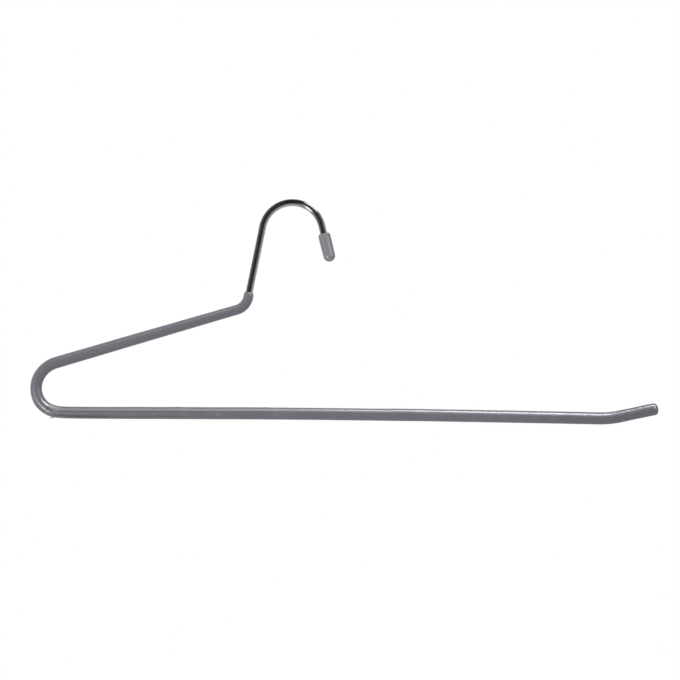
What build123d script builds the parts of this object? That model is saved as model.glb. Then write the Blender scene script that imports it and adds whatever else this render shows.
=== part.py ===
from build123d import *
from math import atan, degrees
import os

# Trouser hanger with one open end, in millimetres. X runs along the bar towards its
# upturned tip, Y runs through the thickness and +Z is up. The origin is the place
# where the hook rests on a rail, under the middle of its crown.

# Wire: straights and the radii of the bends, all on its centre line
WIRE_DIAMETER = 4.2
HOOK_END_LENGTH = 19.0
HOOK_RADIUS = 16.9
SHANK_LENGTH = 40.2
SHOULDER_RADIUS = 9.0
ARM_LENGTH = 104.7
UPPER_BEND_RADIUS = 16.3
LOWER_BEND_RADIUS = 13.7
BAR_LENGTH = 300.0
BAR_BOW = 0.85  # how far the middle of the bar stands above a straight line
TIP_BEND_RADIUS = 50.8
TIP_LENGTH = 20.6

# Wire: slopes in degrees from level
HOOK_END_ANGLE = 76.1
SHANK_ANGLE = 78.4
ARM_ANGLE = 16.3
BAR_ANGLE = 0.6
TIP_ANGLE = 11.7
UPPER_BEND_ANGLE = 40.8  # the lower bend turns the rest of the way to the bar

# Dipped coating: its wall grows towards the end that was lowest while it dripped
SHOULDER_WALL = 0.65
END_BEND_WALL = 1.12
BAR_END_WALL = 1.27
TIP_WALL = 1.12
TIP_END_WALL = 1.3
TIP_ROUND_LENGTH = 2.1
RIM_WALL = 0.1
RIM_LENGTH = 2.2
NECK_LENGTH = 0.7
BAR_SPANS = 4

# Cap pushed over the cut end of the hook, down to its floor
CAP_WALL = 1.2
CAP_LENGTH = 16.1
CAP_FLOOR = 1.6
CAP_MOUTH_WALL = 0.45
CAP_MOUTH_LENGTH = 1.8

RIGHT_ANGLE = 90
HALF_TURN = 180


def onward(line, length):
    """A straight that carries on from the end of line."""
    return Line(line @ 1, (line @ 1) + (line % 1) * length)


def bent(line, radius, turn):
    """A bend that carries on from the end of line and turns left by turn degrees."""
    return JernArc(line @ 1, line % 1, radius, turn)


def centre_lines():
    """Each stretch of the wire by name, from the cut end in the hook to the bar's."""
    hook_start = RIGHT_ANGLE - HOOK_END_ANGLE
    hook_centre = (0, WIRE_DIAMETER / 2 - HOOK_RADIUS)
    bar_half_turn = degrees(2 * atan(2 * BAR_BOW / BAR_LENGTH))
    bar_radius = (BAR_LENGTH**2 / 4 + BAR_BOW**2) / (2 * BAR_BOW)
    lower_bend_turn = HALF_TURN - ARM_ANGLE - UPPER_BEND_ANGLE - BAR_ANGLE + bar_half_turn
    tip_bend_turn = TIP_ANGLE + BAR_ANGLE + bar_half_turn

    hook = CenterArc(hook_centre, HOOK_RADIUS, hook_start, HOOK_END_ANGLE + SHANK_ANGLE)
    hook_end = Line((hook @ 0) - (hook % 0) * HOOK_END_LENGTH, hook @ 0)
    shank = onward(hook, SHANK_LENGTH)
    shoulder = bent(shank, SHOULDER_RADIUS, ARM_ANGLE - SHANK_ANGLE)
    arm = onward(shoulder, ARM_LENGTH)
    upper_bend = bent(arm, UPPER_BEND_RADIUS, UPPER_BEND_ANGLE)
    lower_bend = bent(upper_bend, LOWER_BEND_RADIUS, lower_bend_turn)
    bar = bent(lower_bend, bar_radius, -2 * bar_half_turn)
    tip_bend = bent(bar, TIP_BEND_RADIUS, tip_bend_turn)
    tip = onward(tip_bend, TIP_LENGTH)
    stretches = {
        "hook_end": hook_end,
        "hook": hook,
        "shank": shank,
        "shoulder": shoulder,
        "arm": arm,
        "upper_bend": upper_bend,
        "lower_bend": lower_bend,
        "bar": bar,
        "tip_bend": tip_bend,
        "tip": tip,
    }
    return {name: Plane.XZ * line for name, line in stretches.items()}


def across(line, place):
    """The plane square to line at a share of its length, facing along it."""
    return Plane(origin=line @ place, z_dir=line % place)


def coated(line, place, wall):
    """The round section of the wire and the wall round it."""
    return across(line, place) * Circle(WIRE_DIAMETER / 2 + wall)


def even(line, wall):
    """A coated stretch whose wall stays the same."""
    return sweep(coated(line, 0, wall), path=line)


def tapered(line, wall, end_wall):
    """A coated straight whose wall changes evenly from one end to the other."""
    ends = [coated(line, 0, wall), coated(line, 1, end_wall)]
    return sweep(ends, path=line, multisection=True)


def bowed(bar):
    """The coated bar, ruled from one section to the next as its wall grows."""
    shares = [span / BAR_SPANS for span in range(BAR_SPANS + 1)]
    walls = [END_BEND_WALL + (BAR_END_WALL - END_BEND_WALL) * share for share in shares]
    sections = [coated(bar, *pair) for pair in zip(shares, walls)]
    return loft(sections, ruled=True)


def turned(outline):
    """A solid turned about Z from lines drawn as radius and height."""
    return revolve(Plane.XZ * make_face(outline), Axis.Z)


def make_wire(lines):
    path = Wire([line.edge() for line in lines.values()])
    return sweep(across(lines["hook_end"], 0) * Circle(WIRE_DIAMETER / 2), path=path)


def collar(shank):
    """The coating's upper end on the shank, with the round rim that the dip left."""
    rim_radius = WIRE_DIAMETER / 2 + RIM_WALL
    full_radius = WIRE_DIAMETER / 2 + SHOULDER_WALL
    height = NECK_LENGTH + RIM_LENGTH
    bend_height = NECK_LENGTH + RIM_LENGTH / 2
    rim = Bezier((full_radius, NECK_LENGTH), (full_radius, bend_height), (rim_radius, height))
    sides = Polyline(rim @ 1, (0, height), (0, 0), (full_radius, 0), rim @ 0)
    up_the_shank = Plane(origin=shank @ 1, z_dir=-(shank % 1))
    return up_the_shank * turned([rim, sides])


def tip_end(tip):
    """The coating on the upturned tip, closed by a dome over the wire's cut end."""
    start_radius = WIRE_DIAMETER / 2 + BAR_END_WALL
    end_radius = WIRE_DIAMETER / 2 + TIP_WALL
    length = TIP_LENGTH + TIP_END_WALL
    centre = (0, TIP_ROUND_LENGTH)
    dome = EllipticalCenterArc(centre, end_radius, TIP_ROUND_LENGTH, -RIGHT_ANGLE, arc_size=RIGHT_ANGLE)
    side = Bezier(dome @ 1, (start_radius, length / 2), (start_radius, length))
    back = Polyline(side @ 1, (0, length), dome @ 0)
    outermost = (tip @ 1) + (tip % 1) * TIP_END_WALL
    return Plane(origin=outermost, z_dir=-(tip % 1)) * turned([dome, side, back])


def make_coating(lines, wire):
    body = collar(lines["shank"])
    body += even(lines["shoulder"], SHOULDER_WALL)
    body += tapered(lines["arm"], SHOULDER_WALL, END_BEND_WALL)
    body += even(lines["upper_bend"], END_BEND_WALL)
    body += even(lines["lower_bend"], END_BEND_WALL)
    body += bowed(lines["bar"])
    body += even(lines["tip_bend"], BAR_END_WALL)
    body += tip_end(lines["tip"])
    return body - wire


def make_cap(hook_end, wire):
    """The cap, with a round closed end and a mouth that narrows onto the wire."""
    radius = WIRE_DIAMETER / 2 + CAP_WALL
    along = hook_end % 0
    outermost = (hook_end @ 0) - along * CAP_FLOOR
    side = Line(outermost + along * radius, outermost + along * (CAP_LENGTH - CAP_MOUTH_LENGTH))
    mouth = onward(side, CAP_MOUTH_LENGTH)
    body = across(side, 0) * Sphere(radius)
    body += even(side, CAP_WALL)
    body += tapered(mouth, CAP_WALL, CAP_MOUTH_WALL)
    return body - wire


def main():
    os.makedirs("parts", exist_ok=True)
    lines = centre_lines()
    wire = make_wire(lines)
    nodes = {
        "steel_wire": wire,
        "grip_coating": make_coating(lines, wire),
        "hook_tip_cap": make_cap(lines["hook_end"], wire),
    }
    for name, shape in nodes.items():
        export_step(shape, f"parts/{name}.step")


main()
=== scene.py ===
import math

import bpy
import numpy as np
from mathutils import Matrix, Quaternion, Vector


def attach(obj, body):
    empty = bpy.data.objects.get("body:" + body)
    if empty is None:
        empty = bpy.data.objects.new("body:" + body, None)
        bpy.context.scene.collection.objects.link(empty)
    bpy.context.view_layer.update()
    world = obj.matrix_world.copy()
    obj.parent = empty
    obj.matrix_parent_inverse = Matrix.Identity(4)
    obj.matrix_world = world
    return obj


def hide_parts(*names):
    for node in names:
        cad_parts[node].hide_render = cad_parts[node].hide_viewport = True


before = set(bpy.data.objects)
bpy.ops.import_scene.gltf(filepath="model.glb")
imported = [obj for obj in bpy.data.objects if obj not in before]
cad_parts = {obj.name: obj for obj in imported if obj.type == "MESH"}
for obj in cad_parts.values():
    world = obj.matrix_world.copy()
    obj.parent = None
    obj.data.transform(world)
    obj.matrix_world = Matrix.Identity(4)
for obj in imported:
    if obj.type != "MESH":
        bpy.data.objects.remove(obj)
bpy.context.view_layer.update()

# Lengths are in metres and angles in radians
MM = 0.001
DEGREE = math.pi / 180
QUARTER_TURN = math.pi / 2
FRONT = np.array([0.0, -1.0, 0.0])

# The wire's centre line, in the plane of X and Z, from its cut end in the hook to its cut end
# in the bar's tip. Slopes are measured from level.
WIRE_RADIUS = 2.1 * MM
HOOK_RADIUS = 16.9 * MM
HOOK_END_SLOPE = 76.1 * DEGREE
SHANK_SLOPE = 78.4 * DEGREE
ARM_SLOPE = 16.3 * DEGREE
BAR_SLOPE = 0.6 * DEGREE
TIP_SLOPE = 11.7 * DEGREE
UPPER_BEND_TURN = 40.8 * DEGREE
BAR_LENGTH = 300.0 * MM
BAR_BOW = 0.85 * MM
BAR_HALF_TURN = 2 * math.atan(2 * BAR_BOW / BAR_LENGTH)
BAR_RADIUS = (BAR_LENGTH**2 / 4 + BAR_BOW**2) / (2 * BAR_BOW)
LOWER_BEND_TURN = math.pi - ARM_SLOPE - UPPER_BEND_TURN - BAR_SLOPE + BAR_HALF_TURN
TIP_BEND_TURN = TIP_SLOPE + BAR_SLOPE + BAR_HALF_TURN


def straight(length):
    """The length and the turn of a straight run."""
    return length, 0.0


def bend(radius, turn):
    """The length and the turn of a bend, which is to the left when turn is positive."""
    return radius * abs(turn), turn


RUNS = {
    "hook_end": straight(19.0 * MM),
    "hook": bend(HOOK_RADIUS, HOOK_END_SLOPE + SHANK_SLOPE),
    "shank": straight(40.2 * MM),
    "shoulder": bend(9.0 * MM, ARM_SLOPE - SHANK_SLOPE),
    "arm": straight(104.7 * MM),
    "upper_bend": bend(16.3 * MM, UPPER_BEND_TURN),
    "lower_bend": bend(13.7 * MM, LOWER_BEND_TURN),
    "bar": bend(BAR_RADIUS, -2 * BAR_HALF_TURN),
    "tip_bend": bend(50.8 * MM, TIP_BEND_TURN),
    "tip": straight(20.6 * MM),
}


def towards(heading):
    """The unit step in X and Z along a heading."""
    return np.array([math.cos(heading), math.sin(heading)])


def step(point, heading, curve, length):
    """The point and the heading that a run of constant curve has got to after length."""
    if abs(curve) < 1e-9:
        return point + length * towards(heading), heading
    end = heading + curve * length
    move = np.array([math.sin(end) - math.sin(heading), math.cos(heading) - math.cos(end)])
    return point + move / curve, end


def lay_out():
    """Where each run starts and ends along the wire, and its first point, heading and curve."""
    hook_start = QUARTER_TURN - HOOK_END_SLOPE
    heading = hook_start + QUARTER_TURN
    point = np.array([0.0, WIRE_RADIUS - HOOK_RADIUS]) + HOOK_RADIUS * towards(hook_start)
    point = point - RUNS["hook_end"][0] * towards(heading)
    start, rows = 0.0, {}
    for name, (length, turn) in RUNS.items():
        rows[name] = (start, start + length, point, heading, turn / length)
        point, heading = step(point, heading, turn / length, length)
        start += length
    return rows


LINE = lay_out()
START = {name: row[0] for name, row in LINE.items()}
END = {name: row[1] for name, row in LINE.items()}


def on_line(at):
    """The point and the heading at a distance along the wire. The end runs carry on straight."""
    name = next((name for name in LINE if at < END[name]), "tip")
    start, _, point, heading, curve = LINE[name]
    return step(point, heading, curve, at - start)


# Shaping functions
def smooth(low, high, value):
    """A soft step from 0 at low to 1 at high."""
    share = np.clip((value - low) / (high - low), 0, 1)
    return share * share * (3 - 2 * share)


def near(value, middle, width):
    """1 at the middle, falling off softly on both sides."""
    return np.exp(-(((value - middle) / width) ** 2))


def round_end(depth, length):
    """The share of its width that a round end of a length has at a depth from its tip."""
    share = np.clip(depth / length, 0, 1)
    return math.sqrt(1 - (1 - share) ** 2)


def patch(ring, middle, radius):
    """How far each point of a ring belongs to a round patch."""
    return near(np.linalg.norm(ring - middle, axis=1), 0, radius)


def waves(count, shortest, longest, seed):
    """Sines along the wire, the same each time: rate, phase, waves round it and weight."""
    random = np.random.default_rng(seed)
    parts = []
    for _ in range(count):
        rate = 2 * math.pi / random.uniform(shortest, longest)
        phase = random.uniform(0, 6.28)
        rounds = random.integers(0, 3)
        parts.append((rate, phase, rounds, random.uniform(0.3, 1)))
    return parts


def uneven(at, angles, parts):
    """What the waves add up to round the wire at one place."""
    total = sum(weight * np.sin(rate * at + phase + rounds * angles) for rate, phase, rounds, weight in parts)
    return total / math.sqrt(len(parts))


# Stations along the wire
def spread(runs, end):
    """Stations up to end. Each run has its start and its spacing."""
    stations = []
    stops = [start for start, _ in runs[1:]] + [end]
    for (start, gap), stop in zip(runs, stops):
        count = max(1, round((stop - start) / gap))
        stations += list(np.linspace(start, stop, count, endpoint=False))
    return stations + [end]


def opening(start, length, angles):
    """Stations that open from a round end, spaced by angles round its curve."""
    return [start + length * (1 - math.cos(angle)) for angle in angles]


def closing(end, length, angles):
    """Stations that close on a round end, spaced by angles round its curve."""
    return [end - length * (1 - math.sin(angle)) for angle in angles]


# Skins over rings of points
def add_object(name, data):
    made = bpy.data.objects.new(name, data)
    bpy.context.scene.collection.objects.link(made)
    return made


def in_plane(point):
    """The place in space of a point on the centre line's plane."""
    return np.array([point[0], 0.0, point[1]])


def even_angles(count):
    return np.arange(count) * 2 * math.pi / count


def around(way, angles):
    """Unit steps square to a way. Angle 0 is on its left and a quarter turn is on its front."""
    left = np.array([-way[1], 0.0, way[0]])
    return np.cos(angles)[:, None] * left + np.sin(angles)[:, None] * FRONT


def ring_at(at, angles, radius):
    """A ring of points round the wire, and the unit step outwards at each of them."""
    point, heading = on_line(at)
    out = around(towards(heading), angles)
    return in_plane(point) + out * np.reshape(radius, (-1, 1)), out


def no_detail(ring, out, at):
    """A ring as it is, with no painted light or shade and no dullness."""
    return ring, np.zeros(len(ring)), np.zeros(len(ring))


def skin(name, rows):
    """A closed mesh. Each row has a distance along it, a ring of points, its painted light and shade and its
    dullness.
    """
    along, rings, painted_lights, dulls = zip(*rows)
    sides = len(rings[0])
    faces, places = [], []
    for i in range(len(rings) - 1):
        for j in range(sides):
            k = (j + 1) % sides
            faces.append((i * sides + j, i * sides + k, (i + 1) * sides + k, (i + 1) * sides + j))
            a, b = j / sides, (j + 1) / sides
            places += [(a, along[i]), (b, along[i]), (b, along[i + 1]), (a, along[i + 1])]
    for i, order in ((0, -1), (len(rings) - 1, 1)):
        faces.append([i * sides + j for j in range(sides)][::order])
        places += [(j / sides, along[i]) for j in range(sides)][::order]
    mesh = bpy.data.meshes.new(name)
    mesh.from_pydata(np.vstack(rings).tolist(), [], faces)
    layer = mesh.uv_layers.new(name="along")
    layer.data.foreach_set("uv", np.array(places, np.float32).ravel())
    for key, values in (("painted_light", painted_lights), ("dull", dulls)):
        data = mesh.attributes.new(key, "FLOAT", "POINT").data
        data.foreach_set("value", np.concatenate(values).astype(np.float32))
    mesh.validate()
    mesh.shade_smooth()
    return add_object(name, mesh)


def tube(name, stations, radius, sides, bore=(), bore_radius=0.0, detail=no_detail):
    """A skin round the wire. radius(at, angles) gives each ring its size, and detail(ring, out,
    at) moves it and gives its painted light and shade and its dullness. With bore stations, the skin turns in
    at its first station and follows the wire to the last of them."""
    angles = even_angles(sides)
    rows = []
    for at in stations:
        ring, out = ring_at(at, angles, radius(at, angles))
        rows.append((at, *detail(ring, out, at)))
    for at in bore:
        ring, out = ring_at(at, angles, bore_radius)
        rows.insert(0, (at, *no_detail(ring, out, at)))
    return skin(name, rows)


# The dipped coat: a rounded rim on the shank, a wall that changes along the wire and a dome
# over the wire's end
COAT_SIDES = 88
NECK_LENGTH = 0.7 * MM
RIM_LENGTH = 2.2 * MM
RIM_STEP = 0.05 * MM
DOME_LENGTH = 2.1 * MM
SHOULDER_WALL = 0.65 * MM
END_BEND_WALL = 1.12 * MM
BAR_END_WALL = 1.27 * MM
TIP_WALL = 1.12 * MM
TIP_END_WALL = 1.3 * MM
FULL_START = END["shank"] - NECK_LENGTH
RIM_START = FULL_START - RIM_LENGTH
COAT_END = END["tip"] + TIP_END_WALL
WALLS = [
    (FULL_START, SHOULDER_WALL),
    (END["shoulder"], SHOULDER_WALL),
    (END["arm"], END_BEND_WALL),
    (START["bar"], END_BEND_WALL),
    (END["bar"], BAR_END_WALL),
    (START["tip"], BAR_END_WALL),
    (COAT_END - DOME_LENGTH, TIP_WALL),
]


def coat_wall(at):
    """The even wall, which starts on the shank with a small step and a rounded rim."""
    if at >= FULL_START:
        return np.interp(at, *zip(*WALLS))
    depth = at - RIM_START
    rounded = 0.75 * round_end(depth, RIM_LENGTH) + 0.25 * depth / RIM_LENGTH
    return SHOULDER_WALL * rounded + RIM_STEP


# The coat's unevenness: its depth and its waves
SLOW_DEPTH = 0.022 * MM
SLOW_WAVES = waves(9, 9 * MM, 46 * MM, 3)
FINE_DEPTH = 0.004 * MM
FINE_WAVES = waves(14, 2.2 * MM, 7 * MM, 5)
CALM_ABOVE_RIM = 0.9 * MM
CALM_AT_TIP = 6 * MM

# How far the coat stands off its even wall: a run, millimetres from its start, and
# millimetres of stand-off on its left and on its right. The coat pooled inside the lower
# bend and sagged under the bar.
SAG = [
    ("shoulder", 0, 0.05, 0.06),
    ("arm", 10, 0.0, 0.08),
    ("arm", 60, -0.02, 0.15),
    ("arm", 95, 0.02, 0.10),
    ("upper_bend", 6, -0.04, 0.08),
    ("lower_bend", 5, 0.0, 0.05),
    ("bar", -18, 0.0, 0.12),
    ("bar", -13.5, 0.03, 0.25),
    ("bar", -9.5, 0.20, 0.10),
    ("bar", -5.0, 0.46, 0.0),
    ("bar", -2.4, 0.46, -0.24),
    ("bar", 0, 0.36, -0.18),
    ("bar", 4, 0.18, 0.02),
    ("bar", 14, 0.09, 0.14),
    ("bar", 27, 0.06, 0.26),
    ("bar", 80, 0.05, 0.25),
    ("bar", 105, 0.13, 0.18),
    ("bar", 140, 0.06, 0.12),
    ("bar", 170, 0.03, 0.17),
    ("bar", 200, 0.15, 0.12),
    ("bar", 240, 0.06, 0.15),
    ("bar", 290, 0.03, 0.10),
    ("tip", 8, 0.06, 0.02),
    ("tip", 16, 0.22, 0.08),
    ("tip", 21, 0.20, 0.10),
]
SAG_PLACES = [START[run] + at * MM for run, at, _, _ in SAG]

# Small bumps on the bar's top: millimetres from its start, width and height
BUMPS = [
    (65.0, 2.6, 0.10),
    (113.8, 1.3, 0.12),
    (125.2, 1.0, 0.10),
    (186.0, 2.2, 0.05),
    (247.0, 1.6, 0.05),
]


def sag(at):
    """The stand-offs on the left and on the right, eased from one knot to the next."""
    i = int(np.clip(np.searchsorted(SAG_PLACES, at), 1, len(SAG) - 1))
    share = float(smooth(SAG_PLACES[i - 1], SAG_PLACES[i], at))
    return [(a + (b - a) * share) * MM for a, b in zip(SAG[i - 1][2:], SAG[i][2:])]


def coat_radius(at, angles):
    on_left, on_right = np.clip(np.cos(angles), 0, 1), np.clip(-np.cos(angles), 0, 1)
    radius = (WIRE_RADIUS + coat_wall(at)) * round_end(COAT_END - at, DOME_LENGTH)
    past_rim = smooth(RIM_START - CALM_ABOVE_RIM, FULL_START, at)
    lively = past_rim * smooth(0, CALM_AT_TIP, COAT_END - at)
    slow = SLOW_DEPTH * uneven(at, angles, SLOW_WAVES)
    fine = FINE_DEPTH * uneven(at, angles, FINE_WAVES)
    left, right = sag(at)
    radius = radius + lively * (slow + fine)
    radius = radius + past_rim * (left * on_left**2 + right * on_right**2)
    for place, width, height in BUMPS:
        radius = radius + height * MM * near(at, START["bar"] + place * MM, width * MM) * on_left**4
    return radius


# What the dip left on the front of the lower bend and of the bar's start, with painted shade
# along its grooves and fold and painted highlight on its ridge and patch. Each stroke follows points
# of the front view, and has a width and a height (a groove is negative), all in millimetres, and a
# change of tone, which is that painted shade or highlight.
FOLD = [
    (-132.9, -115.3),
    (-130.8, -115.9),
    (-128.0, -116.3),
    (-125.3, -116.6),
    (-115.8, -116.8),
    (-104.0, -116.9),
]
# The last column is painted shade where negative and painted highlight where positive
STROKES_AND_PAINTED_LIGHT = [
    ([(-135.6, -112.0), (-136.6, -113.6)], 0.46, -0.05, -0.44),
    ([(-134.6, -112.6), (-133.8, -114.2), (-132.9, -115.3)], 0.46, -0.03, -0.32),
    (FOLD, 0.50, -0.03, -0.46),
    ([(-104.0, -116.9), (-84.0, -117.0), (-62.0, -117.1)], 0.50, -0.02, -0.14),
    ([(-134.7, -115.6), (-132.8, -116.5), (-130.3, -116.9), (-126.9, -117.2)], 0.42, 0.02, 0.14),
    ([(-137.5, -114.9), (-135.1, -114.3)], 0.55, 0.01, 0.30),
]
STROKES_START = START["bar"] - 22 * MM
STROKES_END = START["bar"] + 5 * MM

# A less glossy patch inside the lower bend, and painted shade that darkens the coat towards its open end
DULL_MIDDLE = np.array([-132.2, -2.6, -111.6]) * MM
DULL_RADIUS = 3.9 * MM
END_PAINTED_SHADE = -0.14
END_PAINTED_SHADE_LENGTH = 60 * MM


def stroke_distance(points, route):
    """Distance in the front view of each point from a route of straight pieces."""
    route = np.array(route) * MM
    best = np.full(len(points), np.inf)
    for a, b in zip(route[:-1], route[1:]):
        share = np.clip(((points - a) @ (b - a)) / ((b - a) @ (b - a)), 0, 1)
        best = np.minimum(best, np.linalg.norm(points - a - share[:, None] * (b - a), axis=1))
    return best


def dip_marks_and_painted_light(ring, out, at):
    """Moves a ring by the strokes on its front and gives it their painted shade and highlight, and paints
    shade towards the coat's open end.
    """
    height = np.zeros(len(ring))
    # Painted shade: the coat darkens towards its open end
    painted_light = np.full(len(ring), END_PAINTED_SHADE * smooth(END["bar"] - END_PAINTED_SHADE_LENGTH, START["tip"], at))
    facing = smooth(0.05, 0.35, out @ FRONT)
    # Painted shade along the grooves and the fold, painted highlight on the ridge and the patch
    for route, width, rise, shade in STROKES_AND_PAINTED_LIGHT:
        share = near(stroke_distance(ring[:, [0, 2]], route), 0, width * MM) * facing
        height = height + rise * MM * share
        painted_light = painted_light + shade * share
    return ring + out * height[:, None], painted_light, patch(ring, DULL_MIDDLE, DULL_RADIUS)


coat_stations = opening(RIM_START + 0.01 * MM, RIM_LENGTH, np.linspace(0, QUARTER_TURN, 9)[:-1])
coat_stations += spread(
    [
        (FULL_START, 0.5 * MM),
        (START["arm"], 1.0 * MM),
        (START["upper_bend"], 0.5 * MM),
        (STROKES_START, 0.2 * MM),
        (STROKES_END, 0.6 * MM),
        (START["bar"] + 60 * MM, 1.0 * MM),
        (START["tip_bend"], 0.7 * MM),
    ],
    COAT_END - DOME_LENGTH,
)
coat_stations += closing(COAT_END, DOME_LENGTH, np.linspace(0, QUARTER_TURN, 12)[1:-1])
coat_stations += [COAT_END - 0.0001 * DOME_LENGTH]
bore_stations = [*np.arange(RIM_START + 1 * MM, END["tip"], 2.5 * MM), END["tip"]]
coating = tube(
    "dipped_coating",
    coat_stations,
    coat_radius,
    COAT_SIDES,
    bore=bore_stations,
    bore_radius=WIRE_RADIUS + 0.02 * MM,
    detail=dip_marks_and_painted_light,
)
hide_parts("grip_coating")
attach(coating, "root")

# The thin tail of a drip under the lower bend: its centre line and radii, in millimetres
TAIL = [
    (-130.0, -116.90, 0.34),
    (-131.4, -117.16, 0.26),
    (-132.6, -117.43, 0.22),
    (-133.8, -117.69, 0.20),
    (-134.7, -117.90, 0.19),
    (-135.2, -118.02, 0.18),
]
TAIL_SIDES = 12
TAIL_STEPS = 6
TAIL_END_ANGLES = (0.4, 0.8, 1.2, 1.5)


def drip_tail():
    """A thread with a round end, whose root is sunk in the coat."""
    knots = np.array(TAIL) * MM
    last = len(knots) - 1
    fine = np.linspace(0, last, last * TAIL_STEPS + 1)
    x, z, radius = (np.interp(fine, np.arange(last + 1), column) for column in knots.T)
    for values in (x, z):
        for i in (1, 2):
            values[i:-i] = (values[: -2 * i] + values[i:-i] + values[2 * i :]) / 3
    points = np.column_stack([x, z])
    rings = []
    for i in range(len(points)):
        way = points[min(i + 1, len(points) - 1)] - points[max(i - 1, 0)]
        way /= np.linalg.norm(way)
        rings.append(in_plane(points[i]) + radius[i] * around(way, even_angles(TAIL_SIDES)))
    rim = rings[-1]
    middle = rim.mean(axis=0)
    for angle in TAIL_END_ANGLES:
        reach = in_plane(way) * radius[-1] * math.sin(angle)
        rings.append(middle + (rim - middle) * math.cos(angle) + reach)
    plain = np.zeros(TAIL_SIDES)
    return skin("drip_tail", [(i * MM, ring, plain, plain) for i, ring in enumerate(rings)])


tail = drip_tail()
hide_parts("grip_coating")
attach(tail, "root")

# The cap on the hook's cut end, from its closed end to its mouth
CAP_SIDES = 64
CAP_START = -1.6 * MM
CAP_LENGTH = 16.1 * MM
CAP_END = CAP_START + CAP_LENGTH
CAP_ROUND = 3.1 * MM
CAP_WALL_START = 1.18 * MM
CAP_WALL = 1.33 * MM
CAP_TAPER = 11.5 * MM
CAP_MOUTH = 2.2 * MM
CAP_MOUTH_WALL = 0.45 * MM
CAP_LIP = 0.02 * MM
CAP_LIP_GAP = 0.05 * MM
CAP_DEPTH = 0.02 * MM
CAP_WAVES = waves(6, 5 * MM, 14 * MM, 11)

# Painted highlight in the paler bands along the cap and painted shade in the darker one, by the
# angle from its front towards its right: shade, middle and width. Then the painted shade of its
# left and right side, and the shade of a darker line over the wire's end.
CAP_PAINTED_BANDS = [(0.08, -0.52, 0.16), (0.10, 0.45, 0.35), (-0.10, -0.22, 0.16)]
CAP_LEFT_PAINTED_SHADE = -0.27
CAP_RIGHT_PAINTED_SHADE = -0.18
CAP_FLOOR_SHADE = -0.16
CAP_DULL_RADIUS = 4.0 * MM


def cap_radius(at, angles):
    """A round closed end, a side that widens a little and a mouth that rounds in to the wire."""
    depth = at - CAP_START
    if at > CAP_END + CAP_LIP / 2:
        return WIRE_RADIUS + CAP_LIP_GAP + np.zeros_like(angles)
    wall = np.interp(depth, (0, CAP_TAPER), (CAP_WALL_START, CAP_WALL))
    radius = (WIRE_RADIUS + wall) * round_end(depth, CAP_ROUND)
    mouth_radius = WIRE_RADIUS + CAP_MOUTH_WALL
    radius = mouth_radius + (radius - mouth_radius) * round_end(CAP_LENGTH - depth, CAP_MOUTH)
    return radius + CAP_DEPTH * uneven(at, angles, CAP_WAVES) * smooth(0, 2 * MM, depth)


def cap_painted_light(ring, out, at):
    """Painted highlight and shade in bands along the front, painted shade at the sides, a darker line over
    the wire's end and a dull mouth.
    """
    side = np.arctan2(out[:, 0], out @ FRONT)
    # Painted highlight in the paler bands, painted shade in the darker one
    painted_light = sum(shade * near(side, middle, width) for shade, middle, width in CAP_PAINTED_BANDS)
    # Painted shade on the left and right sides
    edge = smooth(0.6, 1.0, abs(side)) * smooth(2.6, 1.8, abs(side))
    painted_light = painted_light + np.where(side < 0, CAP_LEFT_PAINTED_SHADE, CAP_RIGHT_PAINTED_SHADE) * edge
    painted_light = painted_light * smooth(1 * MM, 3 * MM, at) + CAP_FLOOR_SHADE * near(at, 0.7 * MM, 0.5 * MM)
    return ring, painted_light, patch(ring, in_plane(on_line(CAP_END)[0]), CAP_DULL_RADIUS)


cap_stations = opening(CAP_START, CAP_ROUND, np.linspace(0.012, QUARTER_TURN, 14))
cap_stations += spread([(CAP_START + CAP_ROUND + 0.3 * MM, 0.5 * MM)], CAP_END - CAP_MOUTH)
cap_stations += closing(CAP_END, CAP_MOUTH, np.linspace(0.1, QUARTER_TURN, 9))
cap_stations += [CAP_END + CAP_LIP]
cap = tube("hook_cap", cap_stations, cap_radius, CAP_SIDES, detail=cap_painted_light)
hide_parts("hook_tip_cap")
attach(cap, "root")

# The wire, round and even, with its cut edges just broken
WIRE_SIDES = 48
WIRE_EDGE = 0.25 * MM
WIRE_INSET = 0.0001 * MM


def wire_radius(at, angles):
    depth = min(at, END["tip"] - at)
    return WIRE_RADIUS - WIRE_EDGE + WIRE_EDGE * round_end(depth, WIRE_EDGE) + np.zeros_like(angles)


wire_stations = opening(WIRE_INSET, WIRE_EDGE, np.linspace(0, QUARTER_TURN, 5))
wire_stations += spread([(0.6 * MM, 0.4 * MM), (START["arm"], 2.0 * MM)], END["tip"] - WIRE_EDGE)
wire_stations += [END["tip"] - WIRE_INSET]
wire = tube("bent_wire", wire_stations, wire_radius, WIRE_SIDES)
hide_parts("steel_wire")
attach(wire, "root")


# Node helpers
def new_material(name):
    made = bpy.data.materials.new(name)
    made.use_nodes = True
    return made, made.node_tree


def node(tree, kind, **values):
    """A node whose values go to its sockets or, where no socket has that name, to its settings."""
    made = tree.nodes.new(kind)
    for key, value in values.items():
        if key in made.inputs:
            made.inputs[key].default_value = value
        else:
            setattr(made, key, value)
    return made


def feed(tree, target, *values):
    """Sets or links the first inputs of a node, and gives its first output."""
    for socket, value in zip(target.inputs, values):
        if isinstance(value, float):
            socket.default_value = value
        else:
            tree.links.new(value, socket)
    return target.outputs[0]


def maths(tree, kind, *values):
    return feed(tree, node(tree, "ShaderNodeMath", operation=kind), *values)


def ramp(tree, source, stops):
    """A colour that changes with source from stop to stop. A plain number is a grey."""
    made = tree.nodes.new("ShaderNodeValToRGB")
    while len(made.color_ramp.elements) < len(stops):
        made.color_ramp.elements.new(0.5)
    for element, (place, colour) in zip(made.color_ramp.elements, stops):
        element.position = place
        element.color = colour if isinstance(colour, tuple) else (colour, colour, colour, 1)
    return feed(tree, made, source)


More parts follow.
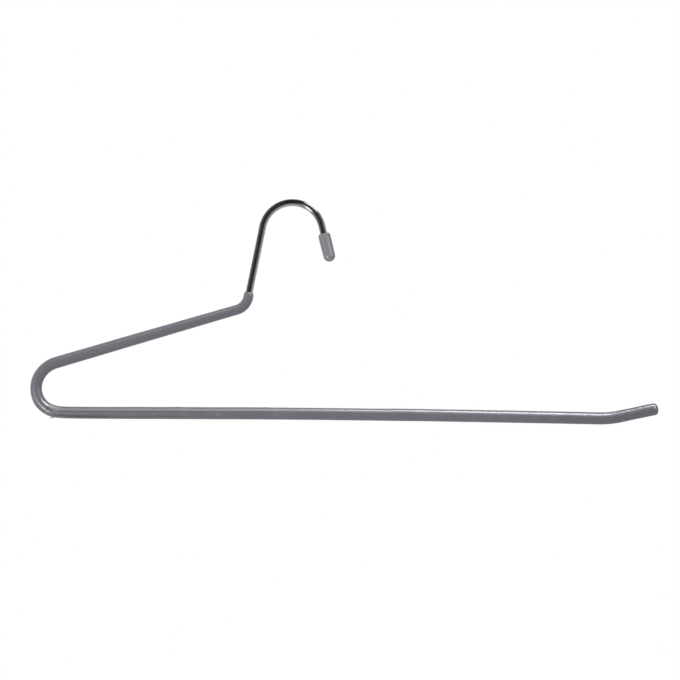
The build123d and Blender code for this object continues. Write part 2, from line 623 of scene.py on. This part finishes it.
def on_object(tree, *textures):
    """Lays textures on the piece's own coordinates."""
    place = node(tree, "ShaderNodeTexCoord")
    for texture in textures:
        tree.links.new(place.outputs["Object"], texture.inputs["Vector"])


def bump(tree, height, strength, distance, under=None):
    """The normal of a bump, which lies on the bump under it if there is one."""
    made = node(tree, "ShaderNodeBump", Strength=strength, Distance=distance)
    tree.links.new(height, made.inputs["Height"])
    if under is not None:
        tree.links.new(under, made.inputs["Normal"])
    return made.outputs["Normal"]


# Vinyl: cloudy and finely specked, with the painted light and shade and the dullness of the mesh
DULL_ROUGHNESS = 0.26


def vinyl(name, dark, light, rough, peel):
    made, tree = new_material(name)
    shader = tree.nodes["Principled BSDF"]
    cloud = node(tree, "ShaderNodeTexNoise", Scale=70.0, Detail=5.0, Roughness=0.6)
    speck = node(tree, "ShaderNodeTexNoise", Scale=620.0, Detail=2.0)
    pores = node(tree, "ShaderNodeTexVoronoi", Scale=380.0)
    on_object(tree, cloud, speck, pores)
    colour = node(tree, "ShaderNodeMix", data_type="RGBA", blend_type="MULTIPLY")
    colour.inputs[0].default_value = 1.0
    tree.links.new(ramp(tree, cloud.outputs["Fac"], [(0.32, dark), (0.68, light)]), colour.inputs[6])
    tree.links.new(ramp(tree, speck.outputs["Fac"], [(0.30, 0.97), (0.70, 1.0)]), colour.inputs[7])
    # The mesh's painted light and shade scales the colour
    painted_light = node(tree, "ShaderNodeAttribute", attribute_name="painted_light")
    with_painted_light = node(tree, "ShaderNodeVectorMath", operation="SCALE")
    tree.links.new(colour.outputs[2], with_painted_light.inputs[0])
    tree.links.new(maths(tree, "ADD", painted_light.outputs["Fac"], 1.0), with_painted_light.inputs["Scale"])
    tree.links.new(with_painted_light.outputs[0], shader.inputs["Base Color"])
    gloss = ramp(tree, cloud.outputs["Fac"], [(0.3, rough - 0.02), (0.7, rough + 0.03)])
    dull = node(tree, "ShaderNodeAttribute", attribute_name="dull")
    duller = maths(tree, "MULTIPLY_ADD", dull.outputs["Fac"], DULL_ROUGHNESS, gloss)
    tree.links.new(duller, shader.inputs["Roughness"])
    fine = bump(tree, speck.outputs["Fac"], peel, 0.02 * MM)
    soft = bump(tree, pores.outputs["Distance"], peel, 0.03 * MM, under=fine)
    tree.links.new(soft, shader.inputs["Normal"])
    shader.inputs["IOR"].default_value = 1.55
    return made


# Chrome: a faint cloud of colour and a fine grain in its gloss
def chrome():
    made, tree = new_material("bright plated wire")
    shader = tree.nodes["Principled BSDF"]
    grain = node(tree, "ShaderNodeTexNoise", Scale=900.0, Detail=4.0)
    cloud = node(tree, "ShaderNodeTexNoise", Scale=90.0, Detail=3.0)
    on_object(tree, grain, cloud)
    greys = [(0.3, (0.86, 0.865, 0.88, 1)), (0.7, (0.92, 0.922, 0.93, 1))]
    tree.links.new(ramp(tree, cloud.outputs["Fac"], greys), shader.inputs["Base Color"])
    gloss = ramp(tree, grain.outputs["Fac"], [(0.35, 0.07), (0.65, 0.13)])
    tree.links.new(gloss, shader.inputs["Roughness"])
    tree.links.new(bump(tree, grain.outputs["Fac"], 0.02, 0.04 * MM), shader.inputs["Normal"])
    shader.inputs["Metallic"].default_value = 1.0
    return made


coat_vinyl = vinyl("grey dipped vinyl", (0.143, 0.143, 0.166, 1), (0.156, 0.156, 0.181, 1), 0.25, 0.05)
cap_vinyl = vinyl("grey cap vinyl", (0.214, 0.214, 0.234, 1), (0.234, 0.234, 0.255, 1), 0.20, 0.06)
coating.data.materials.append(coat_vinyl)
tail.data.materials.append(coat_vinyl)
cap.data.materials.append(cap_vinyl)
wire.data.materials.append(chrome())

# The room's plain level, and how much more of it comes from the left and from above
PLAIN_LEVEL = 1.03
MORE_FROM_LEFT = 0.60
MORE_FROM_ABOVE = 0.38

# What glossy rays meet: its least level, its levels from the camera's side of the room round
# to the back, how far these darken towards the ceiling, and light from the sides, each with
# an axis, a direction, a strength and a power that narrows it
LEAST_LEVEL = 0.008
BACK_LEVELS = [(0.0, 0.006), (0.38, 0.016), (0.55, 0.11), (0.63, 0.22), (0.80, 0.58), (0.93, 0.95)]
CEILING = ("Z", 1.0, 0.5, 2.0)
SIDES = [("X", 1.0, 0.16, 2.0), ("X", 1.0, 0.16, 6.0), ("X", -1.0, 0.09, 2.0), ("Z", -1.0, 0.42, 2.0)]

# Two tall windows that the plated crown shows, low on the left and high on the right: the
# direction clockwise from straight up, and levels by slant, by distance out and by depth
WINDOWS = [
    (
        218 * DEGREE,
        [(0.08, 1.25), (0.19, 0.0)],
        [(0.05, 0.0), (0.20, 1.0)],
        [(0.16, 1.0), (0.29, 0.36), (0.60, 0.40)],
    ),
    (
        34 * DEGREE,
        [(0.16, 1.0), (0.31, 0.0)],
        [(0.2, 0.0), (0.4, 1.0)],
        [(0.08, 0.0), (0.15, 0.12), (0.26, 0.34), (0.38, 0.75), (0.51, 1.0)],
    ),
]


def lean(tree, axes, x_share, z_share):
    """How far a direction leans the given way in the front view."""
    along_x = maths(tree, "MULTIPLY", axes["X"], x_share)
    along_z = maths(tree, "MULTIPLY", axes["Z"], z_share)
    return maths(tree, "ADD", along_x, along_z)


def side_light(tree, axes, axis, sign, strength, power):
    """Light that grows with a power of the lean towards one side."""
    inwards = maths(tree, "MAXIMUM", maths(tree, "MULTIPLY", axes[axis], sign), 0.0)
    return maths(tree, "MULTIPLY", maths(tree, "POWER", inwards, power), strength)


def window(tree, axes, behind, turn, by_slant, by_distance, by_depth):
    """A lit band that runs outwards from the camera's side of the room in one direction."""
    across = lean(tree, axes, math.cos(turn), -math.sin(turn))
    outward = lean(tree, axes, math.sin(turn), math.cos(turn))
    off = maths(tree, "ABSOLUTE", across)
    slant = maths(tree, "DIVIDE", off, maths(tree, "MAXIMUM", outward, 0.001))
    shape = maths(tree, "MULTIPLY", ramp(tree, slant, by_slant), ramp(tree, outward, by_distance))
    return maths(tree, "MULTIPLY", shape, ramp(tree, behind, by_depth))


def reflected_room(tree, axes):
    """White behind, dark towards the camera, with light from the sides and two windows."""
    sides = LEAST_LEVEL
    for side in SIDES:
        sides = maths(tree, "ADD", side_light(tree, axes, *side), sides)
    behind = maths(tree, "MULTIPLY_ADD", axes["Y"], 0.5, 0.5)
    shade = maths(tree, "SUBTRACT", 1.0, side_light(tree, axes, *CEILING))
    back = maths(tree, "MULTIPLY", ramp(tree, behind, BACK_LEVELS), shade)
    seen = maths(tree, "MAXIMUM", sides, back)
    for pane in WINDOWS:
        seen = maths(tree, "MAXIMUM", seen, window(tree, axes, behind, *pane))
    return seen


def surround():
    """A plain room for diffuse light, another for reflections, and white for the camera."""
    world = bpy.data.worlds.new("white studio")
    bpy.context.scene.world = world
    world.use_nodes = True
    tree = world.node_tree
    tree.nodes.clear()
    path = node(tree, "ShaderNodeLightPath").outputs
    place = node(tree, "ShaderNodeTexCoord")
    parts = node(tree, "ShaderNodeSeparateXYZ")
    tree.links.new(place.outputs["Generated"], parts.inputs[0])
    axes = parts.outputs
    level = maths(tree, "ADD", lean(tree, axes, -MORE_FROM_LEFT, MORE_FROM_ABOVE), PLAIN_LEVEL)
    soft = node(tree, "ShaderNodeBackground", Color=(1, 1, 1, 1))
    tree.links.new(level, soft.inputs["Strength"])
    room = node(tree, "ShaderNodeBackground", Strength=1.0)
    tree.links.new(reflected_room(tree, axes), room.inputs["Color"])
    white = node(tree, "ShaderNodeBackground", Color=(1, 1, 1, 1), Strength=1.0)
    mix = node(tree, "ShaderNodeMixShader")
    lit = feed(tree, mix, path["Is Glossy Ray"], soft.outputs[0], room.outputs[0])
    direct = maths(tree, "MAXIMUM", path["Is Camera Ray"], path["Is Transmission Ray"])
    shown = feed(tree, node(tree, "ShaderNodeMixShader"), direct, lit, white.outputs[0])
    tree.links.new(shown, node(tree, "ShaderNodeOutputWorld").inputs["Surface"])


surround()

# The pale floor, which the camera sees lifted to white and which keeps the hanger's shadow
FLOOR_HALF_WIDTH = 6.0
FLOOR_HEIGHT = -1.45
FLOOR_GREY = (0.70, 0.70, 0.70, 1)
FLOOR_LIFT = 0.80


def floor():
    made, tree = new_material("pale floor")
    tree.nodes.clear()
    base = node(tree, "ShaderNodeBsdfDiffuse", Color=FLOOR_GREY)
    glow = node(tree, "ShaderNodeEmission", Color=(1, 1, 1, 1))
    path = node(tree, "ShaderNodeLightPath").outputs
    tree.links.new(maths(tree, "MULTIPLY", path["Is Camera Ray"], FLOOR_LIFT), glow.inputs["Strength"])
    both = feed(tree, node(tree, "ShaderNodeAddShader"), base.outputs[0], glow.outputs[0])
    tree.links.new(both, node(tree, "ShaderNodeOutputMaterial").inputs["Surface"])
    corners = [(x, y, FLOOR_HEIGHT) for x, y in ((-1, -1), (1, -1), (1, 1), (-1, 1))]
    corners = [(x * FLOOR_HALF_WIDTH, y * FLOOR_HALF_WIDTH, z) for x, y, z in corners]
    mesh = bpy.data.meshes.new("floor")
    mesh.from_pydata(corners, [], [(0, 1, 2, 3)])
    mesh.materials.append(made)
    obj = add_object("floor", mesh)
    obj.visible_glossy = False
    return obj


ground = floor()


# The lamps add the highlights on the vinyl. Each is for a group of pieces, and the plated
# wire shows the surround alone.
def group(name, members):
    made = bpy.data.collections.new(name)
    for member in members:
        made.objects.link(member)
    return made


VINYL_AND_FLOOR = group("vinyl and floor", (coating, tail, cap, ground))
COAT_AND_FLOOR = group("coating and floor", (coating, tail, ground))
COAT = group("coating", (coating, tail))
CAP = group("cap", (cap,))
LAMP_COLOUR = (0.955, 0.975, 1.0)
TILTED = -45 * DEGREE


def lamp(name, place, aim, width, height, radiance, receivers, roll=0.0):
    """An area lamp of a given brightness, so its power follows from its size."""
    data = bpy.data.lights.new(name, "AREA")
    data.shape = "RECTANGLE"
    data.size = width
    data.size_y = height
    data.energy = radiance * math.pi * width * height
    data.color = LAMP_COLOUR
    obj = add_object(name, data)
    obj.location = place
    turn = (Vector(aim) - Vector(place)).to_track_quat("-Z", "Y") @ Quaternion((0, 0, 1), roll)
    obj.rotation_euler = turn.to_euler()
    obj.visible_camera = False
    obj.visible_diffuse = False
    obj.light_linking.receiver_collection = receivers


lamp("overhead softbox", (0.43, -0.52, 1.36), (0.14, 0, -0.11), 0.24, 1.40, 30.0, COAT_AND_FLOOR)
lamp("overhead fill", (-0.14, -0.50, 1.36), (0.0, 0, -0.11), 0.56, 1.20, 3.7, VINYL_AND_FLOOR)
lamp("upper side softbox", (1.18, -1.12, 1.31), (-0.05, 0, -0.05), 0.90, 0.90, 18.0, COAT, TILTED)
lamp("lower front softbox", (-0.725, -1.42, -0.715), (-0.06, 0, -0.06), 0.34, 0.40, 25.0, COAT, TILTED)
lamp("cap softbox", (-0.92, -1.42, -0.98), (0.02, 0, -0.04), 0.60, 0.60, 20.0, CAP, TILTED)
lamp("left fill", (-1.35, -1.05, -0.45), (-0.10, 0, -0.06), 0.70, 0.70, 3.2, COAT)
lamp("right fill", (0.75, -0.62, 0.12), (-0.135, 0, -0.11), 1.0, 0.40, 1.6, VINYL_AND_FLOOR)

# Camera: square on to the hanger, as in the photograph, and set by the width that it sees there
VIEW_DISTANCE = 1.5
VIEW_WIDTH = 378.8 * MM
VIEW_MIDDLE_X = 26.53 * MM
VIEW_MIDDLE_Z = -74.42 * MM
SENSOR_WIDTH = 36.0

camera = bpy.data.cameras.new("camera")
camera.sensor_width = SENSOR_WIDTH
camera.lens = SENSOR_WIDTH * VIEW_DISTANCE / VIEW_WIDTH
camera.clip_start = 0.05
camera.clip_end = 50.0
view = add_object("camera", camera)
view.location = (VIEW_MIDDLE_X, -VIEW_DISTANCE, VIEW_MIDDLE_Z)
view.rotation_euler = (QUARTER_TURN, 0, 0)
bpy.context.scene.camera = view
bpy.context.scene.view_settings.view_transform = "Standard"
